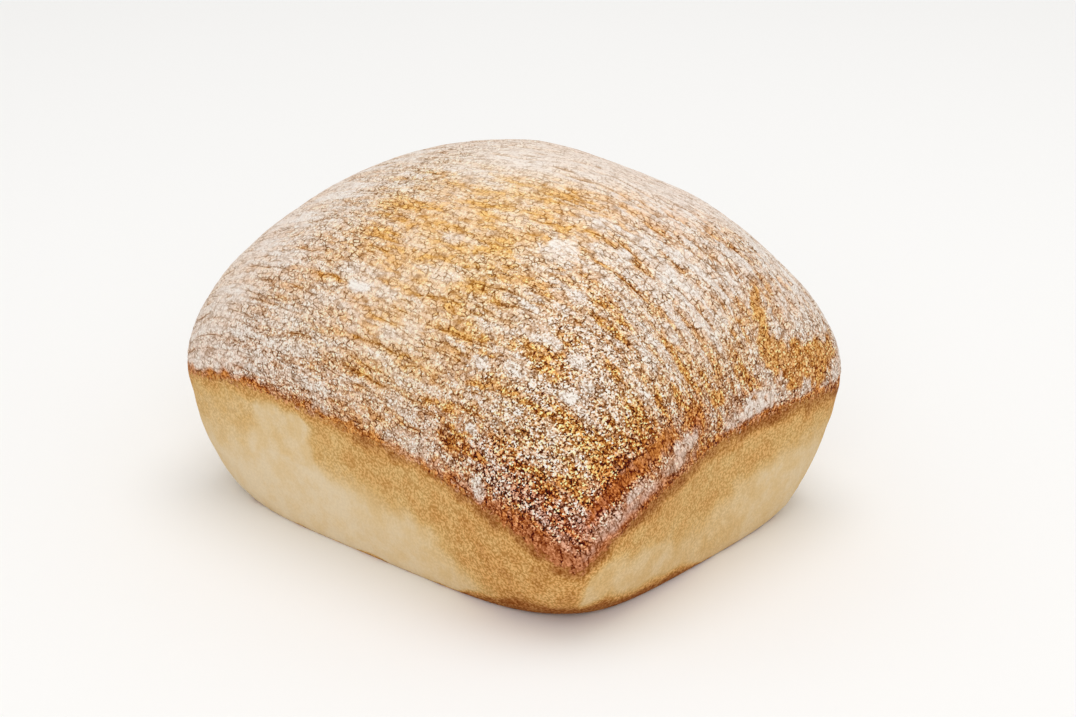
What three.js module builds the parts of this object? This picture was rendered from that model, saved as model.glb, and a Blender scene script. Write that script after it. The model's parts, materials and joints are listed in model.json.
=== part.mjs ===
// Sourdough roll: a rectangle cut from a sheet of floured dough and baked on a flat stone.
// The sheet's floured skin has risen into a dome. The four cut faces have no flour: they bulge out
// under the skin and turn in towards a smaller flat base. The skin ends at a rim that runs round the
// roll, high in the middle of each face and dipping to a point at each corner.
// Millimetres, +Z up, +X along the roll's length, origin under the middle of its outline.

import * as THREE from "three";
import { mergeVertices } from "three/addons/utils/BufferGeometryUtils.js";

// Overall size, measured at the rim in the middle of the faces, and at the top of the dome.
const LENGTH = 100;
const WIDTH = 80;
const HEIGHT = 64.5;

// The rim: its height over the base, and how much higher it is at the +X and +Y faces.
const RIM_HEIGHT = 29;
const RIM_RISE_X = -3.8;
const RIM_RISE_Y = 3.8;
// How square the roll is in plan, as a superellipse's power: 2 is an ellipse, more is squarer.
const RIM_SQUARENESS = 6.5;
const CROWN_SQUARENESS = 2;

// Each corner of the rim: which way it points, how far it dips and how far its tip stands out.
const CORNERS = [
  { x: 1, y: -1, dip: 9.6, tip: 2.8 },
  { x: 1, y: 1, dip: 5.4, tip: 3.2 },
  { x: -1, y: 1, dip: 8, tip: 1.6 },
  { x: -1, y: -1, dip: 6.8, tip: 2 },
];
// A corner's reach along the rim to each side, as an angle seen from the middle, and its pointedness.
const CORNER_REACH = THREE.MathUtils.degToRad(12.1);
const CORNER_TIP_ROUND = THREE.MathUtils.degToRad(1.7);
const CORNER_POWER = 1.3;

// The dome's section from crown to rim is a superellipse, and its crown leans off the middle.
const DOME_POWER_OUT = 2.12;
const DOME_POWER_UP = 1.95;
const CROWN_LEAN_X = 4.3;
const CROWN_LEAN_Y = 2.7;
// How fast the rim's dips and corners fade towards the crown.
const RIM_FADE_POWER = 4;
const SQUARE_FADE_POWER = 3;

// The base as a share of the rim's outline, smaller under the corners, and the faces' roundness.
const BASE_SHARE = 0.91;
const BASE_TUCK_AT_CORNERS = 0.11;
const FACE_ROUND_POWER = 1.6;
// How far the skin's edge stands out over the cut faces, and the share of a face that this step takes.
const RIM_LIP = 0.5;
const RIM_LIP_SHARE = 0.12;

// Broad lumps in the baked dough, which die out at the base so that it stays flat.
const LUMP_DEPTH = 0.2;
const LUMP_SPACING = [61, 43, 34, 26];
const LUMP_FREE_HEIGHT = 9;

// Steps of the surface along the length, the width and the height of the faces.
const STEPS_X = 36;
const STEPS_Y = 30;
const STEPS_Z = 12;

const HALF_LENGTH = LENGTH / 2;
const HALF_WIDTH = WIDTH / 2;

// The distance from the middle to a superellipse of the roll's length and width, at an angle.
function planRadius(angle, squareness) {
  const along = Math.abs(Math.cos(angle) / HALF_LENGTH) ** squareness;
  const across = Math.abs(Math.sin(angle) / HALF_WIDTH) ** squareness;
  return (along + across) ** (-1 / squareness);
}

// How much a corner counts at an angle: 1 at its tip, falling to 0 along both faces.
function cornerShare(corner, angle) {
  const tip = Math.atan2(corner.y * HALF_WIDTH, corner.x * HALF_LENGTH);
  const turn = Math.atan2(Math.sin(angle - tip), Math.cos(angle - tip));
  const away = Math.hypot(turn, CORNER_TIP_ROUND) / CORNER_REACH;
  return Math.exp(-(away ** CORNER_POWER));
}

// The sum over the corners of one of their sizes, each weighed by its share at this angle.
function atCorners(angle, size) {
  return CORNERS.reduce((sum, corner) => sum + size(corner) * cornerShare(corner, angle), 0);
}

function rimRadius(angle) {
  return planRadius(angle, RIM_SQUARENESS) + atCorners(angle, (corner) => corner.tip);
}

function rimHeight(angle) {
  const rise = RIM_RISE_X * Math.cos(angle) + RIM_RISE_Y * Math.sin(angle);
  return RIM_HEIGHT + rise - atCorners(angle, (corner) => corner.dip);
}

// A point of the unit square as an angle round the roll and a share of the way out to the rim.
function polar(x, y) {
  return { angle: Math.atan2(y * WIDTH, x * LENGTH), out: Math.max(Math.abs(x), Math.abs(y)) };
}

function fromPolar(angle, radius, height) {
  return new THREE.Vector3(radius * Math.cos(angle), radius * Math.sin(angle), height);
}

// The floured dome over the rim: elliptical round the crown, square with pointed corners at the rim.
function domePoint(x, y) {
  const { angle, out } = polar(x, y);
  const share = Math.sin((out * Math.PI) / 2);
  const squareness = THREE.MathUtils.lerp(
    CROWN_SQUARENESS,
    RIM_SQUARENESS,
    share ** SQUARE_FADE_POWER,
  );
  const tips = (rimRadius(angle) - planRadius(angle, RIM_SQUARENESS)) * share ** RIM_FADE_POWER;
  const radius = share * (planRadius(angle, squareness) + tips);
  const crown = Math.max(0, 1 - share ** DOME_POWER_OUT) ** (1 / DOME_POWER_UP);
  const dips = (rimHeight(angle) - RIM_HEIGHT) * share ** RIM_FADE_POWER;
  const point = fromPolar(angle, radius, RIM_HEIGHT + (HEIGHT - RIM_HEIGHT) * crown + dips);
  const lean = 1 - share * share;
  return point.add(new THREE.Vector3(CROWN_LEAN_X * lean, CROWN_LEAN_Y * lean, 0));
}

// The base's outline as a share of the rim's at an angle.
function baseShare(angle) {
  return BASE_SHARE - atCorners(angle, () => BASE_TUCK_AT_CORNERS);
}

// A cut face, from the rim, where down is 0, round and in to the edge of the base, where it is 1.
function facePoint(x, y, down) {
  const { angle } = polar(x, y);
  const turn = (down * Math.PI) / 2;
  const drop = Math.sin(turn) ** (2 / FACE_ROUND_POWER);
  const tuck = 1 - Math.max(0, Math.cos(turn)) ** (2 / FACE_ROUND_POWER);
  const lip = RIM_LIP * THREE.MathUtils.smoothstep(down, 0, RIM_LIP_SHARE);
  const radius = rimRadius(angle) * (1 - (1 - baseShare(angle)) * tuck) - lip;
  return fromPolar(angle, radius, rimHeight(angle) * (1 - drop));
}

function basePoint(x, y) {
  const { angle, out } = polar(x, y);
  return fromPolar(angle, out * (rimRadius(angle) * baseShare(angle) - RIM_LIP), 0);
}

// How far the dough stands out of its plain form at a point: waves in turned directions, added up.
function lump(point) {
  const goldenTurn = Math.PI * (3 - Math.sqrt(5));
  const waves = LUMP_SPACING.map((spacing, i) => {
    const heading = new THREE.Vector3(Math.cos(i * goldenTurn), Math.sin(i * goldenTurn), 0.6 - 0.4 * i);
    return Math.sin((2 * Math.PI * heading.normalize().dot(point)) / spacing + i * goldenTurn);
  });
  const depth = LUMP_DEPTH * waves.reduce((sum, wave) => sum + wave, 0);
  return depth * THREE.MathUtils.smoothstep(point.z, 0, LUMP_FREE_HEIGHT);
}

// A box split into squares, whose top becomes the dome, its sides the cut faces and its floor the base.
function rollGeometry() {
  const cube = new THREE.BoxGeometry(2, 2, 2, STEPS_X, STEPS_Y, STEPS_Z);
  cube.deleteAttribute("normal");
  cube.deleteAttribute("uv");
  cube.clearGroups();
  const geometry = mergeVertices(cube);
  const position = geometry.getAttribute("position");
  const onCube = new THREE.Vector3();
  for (let i = 0; i < position.count; i++) {
    onCube.fromBufferAttribute(position, i);
    const { x, y, z } = onCube;
    const point =
      z > 0.999 ? domePoint(x, y) : z < -0.999 ? basePoint(x, y) : facePoint(x, y, (1 - z) / 2);
    position.setXYZ(i, point.x, point.y, point.z);
  }
  geometry.computeVertexNormals();
  const normal = geometry.getAttribute("normal");
  const place = new THREE.Vector3();
  const outwards = new THREE.Vector3();
  for (let i = 0; i < position.count; i++) {
    place.fromBufferAttribute(position, i);
    outwards.fromBufferAttribute(normal, i);
    place.addScaledVector(outwards, lump(place));
    position.setXYZ(i, place.x, place.y, place.z);
  }
  geometry.computeBoundingBox();
  const middle = geometry.boundingBox.getCenter(new THREE.Vector3());
  geometry.translate(-middle.x, -middle.y, 0);
  geometry.computeVertexNormals();
  return geometry;
}

const crust = new THREE.MeshStandardMaterial({ color: 0xd9b183, roughness: 0.85, metalness: 0 });
const roll = new THREE.Mesh(rollGeometry(), crust);
roll.name = "roll";

const sourdoughRoll = new THREE.Group();
sourdoughRoll.add(roll);

export default sourdoughRoll;
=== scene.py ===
"""A square-cut sourdough roll: its look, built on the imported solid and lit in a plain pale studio."""

import json
import math

import bpy
import numpy as np
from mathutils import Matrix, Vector, noise

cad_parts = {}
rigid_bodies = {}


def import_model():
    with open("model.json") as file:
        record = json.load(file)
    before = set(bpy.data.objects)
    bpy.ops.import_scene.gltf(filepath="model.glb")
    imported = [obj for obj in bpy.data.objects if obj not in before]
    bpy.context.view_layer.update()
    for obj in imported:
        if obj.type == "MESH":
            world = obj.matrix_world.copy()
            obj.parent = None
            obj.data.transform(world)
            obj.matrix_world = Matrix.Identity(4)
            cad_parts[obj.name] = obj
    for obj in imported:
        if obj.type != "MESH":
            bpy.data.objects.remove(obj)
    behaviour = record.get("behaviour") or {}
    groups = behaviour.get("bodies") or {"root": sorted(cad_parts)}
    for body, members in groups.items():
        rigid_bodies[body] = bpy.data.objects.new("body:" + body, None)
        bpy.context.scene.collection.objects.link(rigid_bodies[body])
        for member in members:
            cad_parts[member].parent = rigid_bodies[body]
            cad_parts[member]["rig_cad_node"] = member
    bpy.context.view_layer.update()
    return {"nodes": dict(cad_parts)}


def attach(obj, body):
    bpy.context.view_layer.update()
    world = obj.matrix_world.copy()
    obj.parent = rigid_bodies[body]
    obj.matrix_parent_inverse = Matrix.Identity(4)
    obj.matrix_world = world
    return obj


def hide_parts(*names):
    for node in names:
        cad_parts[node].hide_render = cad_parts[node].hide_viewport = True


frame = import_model()

# The roll: one piece of dough, cut from a floured sheet and baked on a stone. The sheet's skin is the
# domed top, crazed and dusted with flour; below its rim are the bare cut faces, and under them the base.

# It starts as a welded copy of the solid, made of squares again.
bpy.ops.object.select_all(action="DESELECT")
solid = frame["nodes"]["roll"]
solid.select_set(True)
bpy.context.view_layer.objects.active = solid
bpy.ops.object.duplicate()
roll = bpy.context.object
roll.name = "roll_crust"
roll.data.materials.clear()
del roll["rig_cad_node"]
bpy.ops.object.parent_clear(type="CLEAR_KEEP_TRANSFORM")
bpy.ops.object.mode_set(mode="EDIT")
bpy.ops.mesh.select_all(action="SELECT")
bpy.ops.mesh.remove_doubles(threshold=0.00001)
bpy.ops.mesh.customdata_custom_splitnormals_clear()
bpy.ops.mesh.tris_convert_to_quads(face_threshold=math.radians(60), shape_threshold=math.radians(60))
bpy.ops.mesh.select_mode(type="FACE")
bpy.ops.mesh.select_all(action="DESELECT")
bpy.ops.object.mode_set(mode="OBJECT")


def smooth_step(low, high, value):
    """0 at low, 1 at high, and a soft slope between the two, whichever of them is the larger."""
    share = np.clip((value - low) / (high - low), 0, 1)
    return share * share * (3 - 2 * share)


def swells(points, size, seed):
    """Soft noise from about -1 to 1 over points in millimetres, in swells of this size."""
    return np.array([noise.noise(point) for point in (points / size + seed).tolist()])


def spot(across, along, middle_across, middle_along, radius):
    """1 in the middle of a round spot, falling softly to 0 outside its radius."""
    away = np.hypot(across - middle_across, along - middle_along) / radius
    return np.exp(-away * away)


def vertices_mm(mesh):
    """The mesh's points and the ways they face, with the points in millimetres."""
    points = np.empty(len(mesh.vertices) * 3, np.float32)
    normals = np.empty(len(mesh.vertices) * 3, np.float32)
    mesh.vertices.foreach_get("co", points)
    mesh.vertex_normals.foreach_get("vector", normals)
    return points.reshape(-1, 3).astype(float) * 1000, normals.reshape(-1, 3).astype(float)


# The rim, where the floured skin ends: high in the middle of each face and dipping to a point at each
# corner. The dip at the front corner has a sharp tip of its own.
half_length, half_width = 50, 40
rim_middle, rim_rise = 29, 3.8
corner_reach, corner_round = math.radians(12.1), math.radians(1.7)
corner_dips = {(1, -1): 9.6, (1, 1): 5.4, (-1, 1): 8, (-1, -1): 6.8}
front_tip, front_tip_dip, front_tip_reach = math.radians(-36.6), 2.4, math.radians(4)


def over_the_rim(points):
    """The height of each point over the rim, in millimetres, and its bearing round the roll."""
    bearing = np.arctan2(points[:, 1], points[:, 0])
    rim = rim_middle - rim_rise * np.cos(bearing) + rim_rise * np.sin(bearing)
    for (side, end), dip in corner_dips.items():
        turn = bearing - math.atan2(end * half_width, side * half_length)
        turn = np.arctan2(np.sin(turn), np.cos(turn))
        rim -= dip * np.exp(-((np.hypot(turn, corner_round) / corner_reach) ** 1.3))
    rim -= front_tip_dip * np.exp(-np.abs(bearing - front_tip) / front_tip_reach)
    return points[:, 2] - rim, bearing


# The underside comes off, the rest is rounded, and the skin is split once more for its fine relief.
base_height, skin_start = 0.00005, -0.2
underside = [face.center.z < base_height for face in roll.data.polygons]
roll.data.polygons.foreach_set("select", underside)
bpy.ops.object.mode_set(mode="EDIT")
bpy.ops.mesh.delete(type="FACE")
bpy.ops.object.mode_set(mode="OBJECT")
rounding = roll.modifiers.new("rounding", "SUBSURF")
rounding.levels = 2
rounding.render_levels = 2
bpy.ops.object.modifier_apply(modifier="rounding")
over_rim, bearing = over_the_rim(vertices_mm(roll.data)[0])
on_skin = [bool(over_rim[list(face.vertices)].min() > skin_start) for face in roll.data.polygons]
roll.data.polygons.foreach_set("select", on_skin)
bpy.ops.object.mode_set(mode="EDIT")
bpy.ops.mesh.subdivide(number_cuts=1, smoothness=0)
bpy.ops.object.mode_set(mode="OBJECT")

# Where each point of the skin would lie if the skin were pulled flat about the crown, and from that
# its place along and across the lines in which the dough was stretched, which fan out a little.
points, normals = vertices_mm(roll.data)
over_rim, bearing = over_the_rim(points)
x, y, z = points.T
crown_x, crown_y = 4.3, 2.7
pull = np.hypot(1, (z.max() - z) / (np.hypot(x - crown_x, y - crown_y) + 0.001))
flat_x = (x - crown_x) * pull
flat_y = (y - crown_y) * pull
line_turn, line_curve, line_fan, line_crowding = 0.174, 0.00224, 0.00237, 0.0011
along = flat_x + line_turn * flat_y + 2 * line_curve * flat_x * flat_y + line_fan * flat_y ** 2
across = flat_y - line_turn * flat_x - line_curve * flat_x ** 2
across -= 2 * line_fan * flat_x * flat_y + line_crowding * flat_y ** 2
flat = np.stack([along, across, np.zeros_like(along)], 1)
skin = smooth_step(-0.4, 0.6, over_rim)

# Furrows: the skin tore along the length of the roll as it rose, in broken lines that wander.
# The wave is 0 on each line, and torn says where along the lines the skin did tear.
furrow_gap = 1.7
phase = across / furrow_gap + 1.0 * swells(flat, [10, 4, 1], 3.1) + 0.35 * swells(flat, [4.5, 1.8, 1], 8.4)
furrow_wave = np.sin(math.pi * phase)
low_right = smooth_step(20, 10, over_rim) * smooth_step(20, 40, x)
torn = smooth_step(-0.1, 0.3, swells(flat, [7.0, 2.2, 1], 5.2)) * skin
torn *= 0.3 + 0.7 * smooth_step(4, 18, np.hypot(x - 4, y + 14))
torn *= 1 - 0.6 * low_right
furrow = np.exp(-((furrow_wave / 0.5) ** 2)) * torn

# How dark the oven left the skin: palest in front of the crown, darkest low at the front corner.
front_corner = spot(x, y, 46, -38, 20)
from_palest = np.hypot(x - 6, y + 14)
rim_edge = over_rim + 1.3 * swells(points, 2.0, 9.9)
rim_band = smooth_step(1, 0.3, rim_edge / (2.6 + 3.6 * front_corner))
bake = 0.12 + 0.20 * smooth_step(8, 40, from_palest) + 0.12 * smooth_step(16, 2, over_rim)
bake += 0.36 * front_corner * smooth_step(18, 7, over_rim) * (0.3 + 0.7 * smooth_step(2, 8, over_rim))
bake += 0.10 * rim_band + 0.03 * spot(x, y, 27, -37, 9) + 0.05 * swells(points, 12, 2.9)
bake += (0.68 - bake) * rim_band * front_corner

# The flour's coat: thin at the front, thicker at both ends, with thicker and thinner places here and
# there, and full behind a curved line across the back of the dome. At both ends and across the back
# the thick coat is partly real flour and partly painted sheen, the pale haze of flour at grazing angles.
coat_and_sheen = 0.28 + 0.25 * smooth_step(0, -24, x) + 0.20 * smooth_step(-18, -32, x)
coat_and_sheen += smooth_step(16, 26, x) * (0.12 + 0.20 * smooth_step(-10, 0, y))
coat_and_sheen -= 0.32 * smooth_step(43, 48, x) * smooth_step(16, 8, y)
coat_and_sheen += 0.13 * spot(y, z, -16, 35, 7) * smooth_step(40, 45, x)
for place_x, place_y, radius, thicker in (
    (5, -16, 14, -0.06),
    (-3, -37, 14, 0.16),
    (33, -25, 12, 0.17),
    (43, -30, 6, 0.10),
    (44, -38, 15, -0.38),
    (27, -37, 9, -0.05),
    (46, 26, 10, 0.08),
):
    coat_and_sheen += thicker * spot(x, y, place_x, place_y, radius)
# Behind this line the coat is full: partly flour and partly painted sheen.
full_coat_and_sheen = 0.86
back_band_line = -6.5 + np.where(x > 0, 0.0195, 0.028) * x * np.abs(x)
back_band_softness = 7 + 11 * smooth_step(0, -30, x)
behind = y - back_band_line
back_coat_and_sheen = smooth_step(-1, 1, behind / back_band_softness) * (1 - 0.4 * smooth_step(18, 34, behind))
back_coat_and_sheen *= 1 - 0.45 * smooth_step(0, -30, x)
coat_and_sheen = np.clip(coat_and_sheen + (full_coat_and_sheen - coat_and_sheen) * back_coat_and_sheen, 0.04, 0.96)

# It lies in streaks drawn out along the roll, clearest in the middle and on the right, and the furrows
# are nearly bare of it.
streaks = swells(flat, [9.0, 1.8, 1], 6.6) + 0.6 * swells(flat, [4.5, 1.1, 1], 4.9)
patchy = 0.45 + 0.55 * smooth_step(-40, -20, x) + 0.35 * smooth_step(14, 30, x)
patchy *= (1 - 0.75 * smooth_step(0.4, 1, back_coat_and_sheen)) * (1 - 0.4 * low_right)
film_and_sheen = coat_and_sheen + 0.18 * patchy * np.tanh(3 * streaks) - 0.30 * furrow

# Thick patches of flour, drawn out along the lines: where they lie, how big they are, and how thick.
patch_length, patch_narrowness = 1.4, 1.7
ragged = 0.35 * swells(points, 1.7, 7.3)
for patch_x, patch_y, patch_size, thickness in (
    (24.9, -13.8, 2.4, 0.95),
    (7.2, -21.7, 1.9, 0.6),
    (-5.2, -32.3, 1.7, 0.95),
    (8.4, -33.2, 1.9, 0.45),
    (31.7, -19.2, 1.7, 0.85),
    (37.3, -11.7, 1.4, 0.6),
    (39.4, -29.5, 1.2, 1.0),
    (41.0, -26.8, 1.3, 0.9),
    (47.4, 22.4, 2.2, 0.6),
    (33.1, -26.3, 1.5, 0.8),
    (28.3, -27.8, 2.1, 0.65),
    (38.0, -25.8, 1.8, 0.65),
    (23.2, -33.2, 1.6, 0.7),
    (30.4, -31.5, 2.0, 0.7),
    (38.9, -33.8, 1.7, 0.6),
    (25.6, -38.0, 1.0, 0.7),
    (43.0, -7.5, 1.7, 0.75),
    (40.2, -5.9, 1.6, 0.7),
    (32.1, -6.7, 1.3, 0.85),
):
    middle = np.argmin(np.hypot(x - patch_x, y - patch_y) + 100 * (over_rim < 2))
    beside = (across - across[middle]) * patch_narrowness
    lump = spot(along, beside, along[middle], 0, patch_size * patch_length)
    film_and_sheen = np.maximum(film_and_sheen, thickness * smooth_step(0.25, 0.75, lump + ragged * (lump > 0.05)))

# Bare places over the +X face: a strip along the fold in the skin, and ragged patches beyond it.
right_side = smooth_step(43, 48, x)
fold_height = 7.9 + 0.8 * swells(points, 9, 2.2)
bare_fold = np.exp(-(((over_rim - fold_height) / 1.6) ** 2)) * right_side
bare_fold *= smooth_step(-37, -33, y) * (1 - smooth_step(-16, -12, y))
bare = bare_fold.copy()
stray = y + 0.8 * swells(points, 3, 6.2)
for bare_y, bare_z, bare_size, bareness in (
    (-8.6, 31.2, 2.9, 1.8),
    (-1.5, 33.2, 1.7, 1.6),
    (26, 32.5, 3.4, 0.95),
    (20, 33.5, 3.8, 1.05),
    (14.5, 35.0, 3.0, 0.9),
    (13.6, 39.0, 2.6, 0.9),
    (13.8, 42.5, 2.0, 1.1),
    (14.4, 46.0, 1.6, 1.1),
    (31.5, 31.8, 3.0, 1.0),
    (25.5, 29.4, 2.6, 0.85),
    (18.5, 30.2, 2.4, 0.75),
):
    bare += bareness * spot(stray, z, bare_y, bare_z, bare_size) * smooth_step(39, 43, x)
bare = smooth_step(0.3, 0.8, bare + 0.4 * swells(points, 2.2, 3.9) + 0.4 * swells(points, 1.1, 1.7))
film_and_sheen *= 1 - 0.95 * bare
film_and_sheen = np.clip(film_and_sheen, 0, 1) * (1 - 0.9 * rim_band) + 0.04 * rim_band * front_corner

# Flour rubbed on between the fold and the rim, thinly all along and thickly in a few smears, and one
# smear that runs over the rim of the -Y face. The skin is smooth there, and at the front of the rim.
ragged_over = over_rim + 1.6 * swells(points, 2.4, 3.4) + 0.8 * swells(points, 1.1, 7.7)
under_fold = smooth_step(0.4, 2.4, over_rim) * smooth_step(6.4, 4.4, ragged_over) * right_side
under_fold *= smooth_step(-38, -31, y) * smooth_step(-6, -14, y)
rubbed = 0.24 + 0.3 * swells(points, 3.0, 4.4) + 0.15 * swells(points, 1.2, 5.8)
film_and_sheen = np.maximum(film_and_sheen, under_fold * rubbed)
smear_edge = 1 + 0.9 * swells(points, 1.5, 5.1) + 0.6 * swells(points, 0.7, 2.3)
smeared = np.zeros_like(film_and_sheen)
for smear_y, smear_up, smear_size, thickness in (
    (9.0, 3.2, 3.4, 0.85),
    (3.0, 2.2, 2.6, 0.6),
    (-11.6, 4.6, 2.5, 0.58),
    (-15.0, 2.8, 2.2, 0.45),
    (-25.5, 4.3, 1.5, 0.55),
):
    smear = spot((y - smear_y) * 0.62, (over_rim - smear_up) * 1.5, 0, 0, smear_size) * right_side
    smeared = np.maximum(smeared, thickness * smooth_step(0.1, 0.75, smear * smear_edge))
smeared *= smooth_step(0.2, 2.0, over_rim)
film_and_sheen = np.maximum(film_and_sheen, smeared)
over_edge = spot(x, (z - 24) * 0.7, 28.9, 0, 1.7) * (y < -30)
film_and_sheen = np.maximum(film_and_sheen, 0.65 * smooth_step(0.2, 0.8, over_edge + 0.3 * swells(points, 1.4, 8.1)))
smooth = np.clip(0.5 * under_fold + 0.8 * smeared + rim_band * (0.2 + 0.8 * front_corner), 0, 1)
patchy *= (1 - smooth) * (1 - 0.7 * bare)
torn *= 1 - 0.8 * bare
bake = np.clip(bake - 0.02 * furrow - 0.06 * bare + 0.07 * bare_fold, 0, 1)
bake += 0.24 * spot(y, z, -8.1, 30.7, 2.6) * right_side
bake -= 0.02 * front_corner + 0.03 * smooth_step(-30, -42, x)

# How strongly the crust is grained: most where it is dark, least under thick flour.
grit = 0.08 + 0.33 * spot(x, y, 40, -36, 20) + 0.15 * smooth_step(20, 8, over_rim)
grit += 0.09 * smooth_step(0, -12, x) + 0.13 * smooth_step(25, 40, x)
grit *= (1 - 0.5 * smooth_step(-24, -36, x)) * (1 - 0.2 * spot(x, y, 46, -39, 8))
grit *= 1.1 - 0.6 * smooth_step(0.25, 0.9, film_and_sheen)
grit *= (1 - 0.75 * smooth) * (1 - 0.25 * bare) * (1 - 0.65 * bare_fold)

# How toasted the cut faces are: rust at the rim, golden under it, pale lower down, brown at the base.
below = -over_rim
mottle = swells(points, [15, 15, 8], 3.7) + 0.6 * swells(points, [5, 5, 3.5], 5.5)
end_face = smooth_step(-0.03, 0.03, bearing - front_tip) * smooth_step(0.72, 0.66, bearing)
long_face = smooth_step(0.03, -0.03, bearing - front_tip) * smooth_step(-2.52, -2.44, bearing)
hidden_faces = 1 - long_face - end_face
wavy_x = x + 2.2 * swells(points, 5, 2.7) + 1.0 * swells(points, 2, 3.3)
notch = smooth_step(-30, -22, wavy_x) * smooth_step(-8, -15, wavy_x)
long_depth = 11.8 - 9.8 * notch + 10 * smooth_step(15, 40, wavy_x)
end_depth = np.interp(y, [-36, -30, -24, -16, -6, 6, 18, 28], [2.5, 3, 8, 13, 14, 12, 9, 8])
golden_depth = hidden_faces * 9 + long_face * long_depth + end_face * end_depth + 1.8 * mottle
pale = smooth_step(0.6, 1.4, below / np.clip(golden_depth, 1.5, 40))
golden = 0.42 + 0.18 * smooth_step(-30, 0, x) + 0.14 * smooth_step(10, 40, x)
golden = golden * (1 - end_face) + 0.57 * end_face
palest = 0.08 + (0.24 - 0.14 * smooth_step(0, 24, y)) * end_face
palest += long_face * (0.28 * smooth_step(5, 35, x) + 0.1 * notch * (below < 12))
toast = golden - (golden - palest) * pale
rim_glow = smooth_step(3.4 + 1.6 * end_face, 0.6, below + 1.4 * swells(points, 2.5, 8.8))
toast += (0.26 + 0.12 * end_face) * rim_glow + 0.06 * mottle
edge_height = 0.2 + 2.65 * smooth_step(14, 34, x) * smooth_step(4, -14, y)
edge_height += 0.9 * swells(points, 5, 1.9) + 1.4 * spot(y, 0, -28, 0, 5) * end_face
toast += 0.70 * smooth_step(1.6, 0.5, z / np.clip(edge_height, 0.1, 9))
toast = np.clip(toast, 0, 1)

# The relief: furrows and the fold go in, flour stands out, and the faces are a little wrinkled.
relief = -0.26 * furrow - 0.25 * bare_fold + 0.25 * smooth_step(0.1, 0.8, film_and_sheen)
relief += skin * (0.12 * swells(points, 7, 1.1) + 0.06 * swells(points, 1.0, 2.5))
wrinkles = swells(points, [6.0, 6.0, 3.5], 4.3) + 0.5 * swells(points, 2.4, 6.1)
relief += 0.16 * (1 - skin) * wrinkles
relief *= smooth_step(0.0, 2.5, z)
points += normals * relief[:, None]
roll.data.vertices.foreach_set("co", (points / 1000).astype(np.float32).ravel())

# What each point is like is kept on the mesh for the material to read.
# The film holds the flour and, at both ends and across the back, painted sheen as well.
for name, values in {
    "over_rim": over_rim,
    "film_and_sheen": film_and_sheen,
    "patchy": patchy,
    "grit": grit,
    "bake": bake,
    "toast": toast,
    "furrow_wave": furrow_wave,
    "torn": torn,
}.items():
    layer = roll.data.attributes.new(name, "FLOAT", "POINT")
    layer.data.foreach_set("value", values.astype(np.float32))
pulled_flat = roll.data.attributes.new("dough", "FLOAT_VECTOR", "POINT")
pulled_flat.data.foreach_set("vector", flat.astype(np.float32).ravel())
roll.data.update()

# The underside is closed again with one flat face.
bpy.ops.object.mode_set(mode="EDIT")
bpy.ops.mesh.select_all(action="DESELECT")
bpy.ops.mesh.select_mode(type="EDGE")
bpy.ops.mesh.select_non_manifold(extend=False, use_wire=False, use_multi_face=False, use_non_contiguous=False)
bpy.ops.mesh.edge_face_add()
bpy.ops.mesh.select_all(action="SELECT")
bpy.ops.mesh.normals_make_consistent(inside=False)
bpy.ops.object.mode_set(mode="OBJECT")
bpy.ops.object.shade_smooth()

crust = bpy.data.materials.new("baked_crust")
crust.use_nodes = True
tree = crust.node_tree
shader = tree.nodes["Principled BSDF"]


def colour(code):
    """A screen colour such as "C8A064" as the linear colour that a shader takes."""
    parts = [int(code[i:i + 2], 16) / 255 for i in (0, 2, 4)]
    return [c / 12.92 if c <= 0.04045 else ((c + 0.055) / 1.055) ** 2.4 for c in parts] + [1]


def add_node(kind, inputs=None, **settings):
    """Adds a shader node, sets it, and gives its sockets values or links to other nodes."""
    made = tree.nodes.new(kind)
    for name, value in settings.items():
        setattr(made, name, value)
    for name, value in (inputs or {}).items():
        if isinstance(value, bpy.types.NodeSocket):
            tree.links.new(value, made.inputs[name])
        else:
            made.inputs[name].default_value = value
    return made


def calculate(operation, *values):
    return add_node("ShaderNodeMath", dict(enumerate(values)), operation=operation).outputs[0]


def calculate_each(operation, *values):
    """The same sum on each of the three parts of a place or a colour."""
    return add_node("ShaderNodeVectorMath", dict(enumerate(values)), operation=operation).outputs[0]


def step(value, low, high, to_low=0, to_high=1):
    inputs = {"Value": value, "From Min": low, "From Max": high, "To Min": to_low, "To Max": to_high}
    return add_node("ShaderNodeMapRange", inputs, interpolation_type="SMOOTHSTEP").outputs["Result"]


def mix(share, first, second):
    return add_node("ShaderNodeMix", {0: share, 6: first, 7: second}, data_type="RGBA").outputs[2]


def ramp(share, stops):
    made = add_node("ShaderNodeValToRGB", {"Fac": share})
    elements = made.color_ramp.elements
    while len(elements) < len(stops):
        elements.new(0.5)
    for element, (stop, code) in zip(elements, stops):
        element.position = stop
        element.color = colour(code)
    return made.outputs["Color"]


def attribute(name):
    return add_node("ShaderNodeAttribute", attribute_name=name).outputs["Fac"]


place = add_node("ShaderNodeTexCoord").outputs["Object"]
dough = add_node("ShaderNodeAttribute", attribute_name="dough").outputs["Vector"]


def speckle(size_mm, detail):
    inputs = {"Vector": place, "Scale": 1000 / size_mm, "Detail": detail, "Roughness": 0.6}
    return add_node("ShaderNodeTexNoise", inputs).outputs["Fac"]


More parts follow.
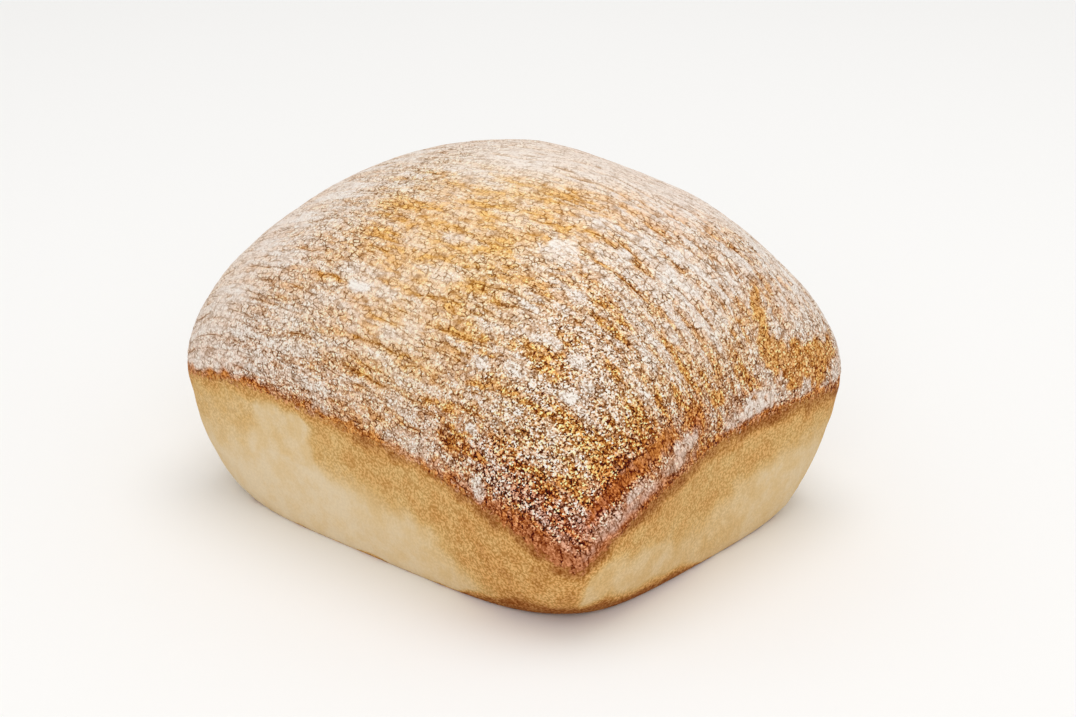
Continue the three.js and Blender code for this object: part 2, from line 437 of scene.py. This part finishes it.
def scales(length_mm, gap_mm):
    """Scales of cracked skin: each one's own chance, -1 to 1, and the lines between them, 1 on a line."""
    bend = (1.6, 1.6, 1.6)
    inputs = {"Vector": dough, "Scale": 0.6, "Detail": 4, "Roughness": 0.75}
    wander = add_node("ShaderNodeTexNoise", inputs).outputs["Color"]
    bent = calculate_each("ADD", calculate_each("MULTIPLY", wander, bend), dough)
    inputs = {"Vector": calculate_each("MULTIPLY", bent, (1 / length_mm, 1 / gap_mm, 1)), "Scale": 1}
    settings = {"voronoi_dimensions": "2D"}
    scale = add_node("ShaderNodeTexVoronoi", inputs, feature="F1", **settings)
    edge = add_node("ShaderNodeTexVoronoi", inputs, feature="DISTANCE_TO_EDGE", **settings)
    chance = step(scale.outputs["Color"], 0.2, 0.8, -1, 1)
    return chance, step(edge.outputs["Distance"], 0.16, 0.05)


def shade(base, change):
    """The colour made lighter or darker in even steps, with its tint nearly kept."""
    root = add_node("ShaderNodeGamma", {"Color": base, "Gamma": 1 / 3}).outputs[0]
    lighter = calculate("MAXIMUM", change, 0)
    darker = calculate("MINIMUM", change, 0)
    lighter_tint, darker_tint = (1.0, 1.02, 1.0), (0.88, 1.02, 1.2)
    darkest, lightest = (0.1, 0.1, 0.1), (0.95, 0.93, 0.90)
    moved = calculate_each("ADD", root, calculate_each("MULTIPLY", lighter, lighter_tint))
    moved = calculate_each("ADD", moved, calculate_each("MULTIPLY", darker, darker_tint))
    moved = calculate_each("MINIMUM", calculate_each("MAXIMUM", moved, darkest), lightest)
    return add_node("ShaderNodeGamma", {"Color": moved, "Gamma": 3}).outputs[0]


# The skin's own colour under a film of flour, which lies thicker on some scales than on others. At
# both ends and across the back the film is partly painted sheen.
flour_and_sheen_colour = colour("E6DBD2")
bare_skin = ramp(attribute("bake"), [
    (0.0, "E0B26C"),
    (0.3, "CC904D"),
    (0.5, "B26D2D"),
    (0.75, "96481B"),
    (1.0, "743012"),
])
wide_chance, wide_lines = scales(7.0, 1.3)
small_chance, small_lines = scales(1.25, 0.75)
uneven = calculate("ADD", calculate("MULTIPLY", wide_chance, 0.42), calculate("MULTIPLY", small_chance, 0.40))
uneven = calculate("MULTIPLY", uneven, attribute("patchy"))
film_and_sheen_share = calculate("ADD", attribute("film_and_sheen"), calculate("MULTIPLY", uneven, 0.24))
skin_under_flour_and_sheen = mix(film_and_sheen_share, bare_skin, flour_and_sheen_colour)

# Its crumbs, lighter or darker, and the dark lines: torn furrows, and cracks between the scales.
crumb_mm = 0.27
crumbs = add_node("ShaderNodeTexVoronoi", {"Vector": place, "Scale": 1000 / crumb_mm}).outputs["Color"]
grained = calculate("MULTIPLY", calculate("MULTIPLY_ADD", crumbs, 2, -1), attribute("grit"))
from_line = calculate("ABSOLUTE", attribute("furrow_wave"))
crack = calculate("MULTIPLY", step(from_line, 0.3, 0.1), attribute("torn"))
crack = calculate("MULTIPLY", crack, step(speckle(0.9, 2), 0.38, 0.52, 0, 0.26))
split = calculate("MULTIPLY", wide_lines, step(speckle(1.6, 2), 0.42, 0.6, 0, 0.16))
crazed = calculate("MULTIPLY", small_lines, step(speckle(1.3, 2), 0.4, 0.62, 0, 0.32))
crazed = calculate("MULTIPLY", crazed, step(attribute("grit"), 0.05, 0.16, 0.5, 1))
lines = calculate("MAXIMUM", crack, calculate("MAXIMUM", split, crazed))
lines = calculate("MULTIPLY", lines, step(film_and_sheen_share, 0.98, 0.7, 0.3, 1))

# The crumbs and lines darken the skin on the whole, so it is lightened again to even that out.
# Thick flour is lightened a little more; at both ends and across the back it is partly painted sheen.
thick_flour_and_sheen = step(attribute("film_and_sheen"), 0.85, 1, 0, 0.05)
evened = calculate("ADD", step(film_and_sheen_share, 0.5, 1, 0.06, 0.02), thick_flour_and_sheen)
evened = calculate("SUBTRACT", evened, calculate("MULTIPLY", attribute("grit"), 0.07))
change = calculate("SUBTRACT", calculate("ADD", grained, evened), lines)
top_colour = shade(skin_under_flour_and_sheen, change)

# The cut faces, pale dough to rust, speckled most where they are brownest.
toasted = attribute("toast")
face_share = calculate("ADD", toasted, step(speckle(4, 4), 0.3, 0.7, -0.1, 0.1))
plain_face = ramp(face_share, [
    (0.0, "DBC7A6"),
    (0.25, "D6BA8C"),
    (0.5, "CCA66B"),
    (0.75, "C39153"),
    (1.0, "935A28"),
])
face_speck = step(speckle(0.44, 1), 0.34, 0.66, -1, 1)
face_grain = calculate("MULTIPLY", face_speck, step(toasted, 0.1, 0.9, 0.008, 0.09))
face_colour = shade(plain_face, face_grain)

# The two meet at the rim in a ragged edge. The skin's scales stand out a little and its lines go in.
ragged_rim = calculate("ADD", attribute("over_rim"), step(speckle(0.9, 3), 0.3, 0.7, -0.8, 0.8))
on_top = step(ragged_rim, -0.9, 0.7)
tree.links.new(mix(on_top, face_colour, top_colour), shader.inputs["Base Color"])
shader.inputs["Roughness"].default_value = 0.85
shader.inputs["Specular IOR Level"].default_value = 0.08
height = calculate("SUBTRACT", calculate("MULTIPLY", small_chance, 0.3), calculate("MULTIPLY", lines, 2))
height = calculate("MULTIPLY", height, on_top)
bump = add_node("ShaderNodeBump", {"Height": height, "Distance": 0.0001, "Strength": 1.0})
tree.links.new(bump.outputs["Normal"], shader.inputs["Normal"])
roll.data.materials.append(crust)
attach(roll, "root")
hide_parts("roll")

# The studio: a pale matt floor that runs out of sight, with a bright white room all round it. One soft
# lamp hangs overhead and a larger one stands in front of the near corner.
bpy.ops.mesh.primitive_plane_add(size=12, location=(0, 0, 0))
floor = bpy.context.object
floor.name = "studio_floor"
floor_paint = bpy.data.materials.new("pale_floor")
floor_paint.use_nodes = True
floor_paint.node_tree.nodes["Principled BSDF"].inputs["Base Color"].default_value = colour("F4F3F1")
floor_paint.node_tree.nodes["Principled BSDF"].inputs["Roughness"].default_value = 0.9
floor.data.materials.append(floor_paint)

room = bpy.data.worlds.new("bright_room")
room.use_nodes = True
room.node_tree.nodes["Background"].inputs["Color"].default_value = (1, 1, 1, 1)
room.node_tree.nodes["Background"].inputs["Strength"].default_value = 0.75
bpy.context.scene.world = room
for lamp_place, lamp_turn, lamp_size, lamp_watts in (
    ((0, 0.1, 0.8), (-0.13, 0, 0), 0.6, 1.9),
    ((0.6, -0.7, 0.45), (1.13, 0, 0.71), 0.8, 2.4),
):
    bpy.ops.object.light_add(type="AREA", location=lamp_place, rotation=lamp_turn)
    lamp = bpy.context.object.data
    lamp.shape = "DISK"
    lamp.size = lamp_size
    lamp.energy = lamp_watts

# The camera stands where the photograph was taken from: a little above the roll, in front of the near
# corner, with a long lens.
camera_turn, camera_lift, camera_distance = math.radians(41.0), math.radians(22.7), 0.4603
aim_height, aim_right, aim_up = 0.03, 0.00524, -0.00326
back = Vector((
    math.sin(camera_turn) * math.cos(camera_lift),
    -math.cos(camera_turn) * math.cos(camera_lift),
    math.sin(camera_lift),
))
right = Vector((math.cos(camera_turn), math.sin(camera_turn), 0))
aim = Vector((0, 0, aim_height)) + right * aim_right + back.cross(right) * aim_up
stand = aim + back * camera_distance
bpy.ops.object.camera_add(location=stand, rotation=(math.pi / 2 - camera_lift, 0, camera_turn))
camera = bpy.context.object
camera.data.lens = 85
camera.data.sensor_width = 36
camera.data.clip_start = 0.01
bpy.context.scene.camera = camera
bpy.context.scene.view_settings.view_transform = "Standard"
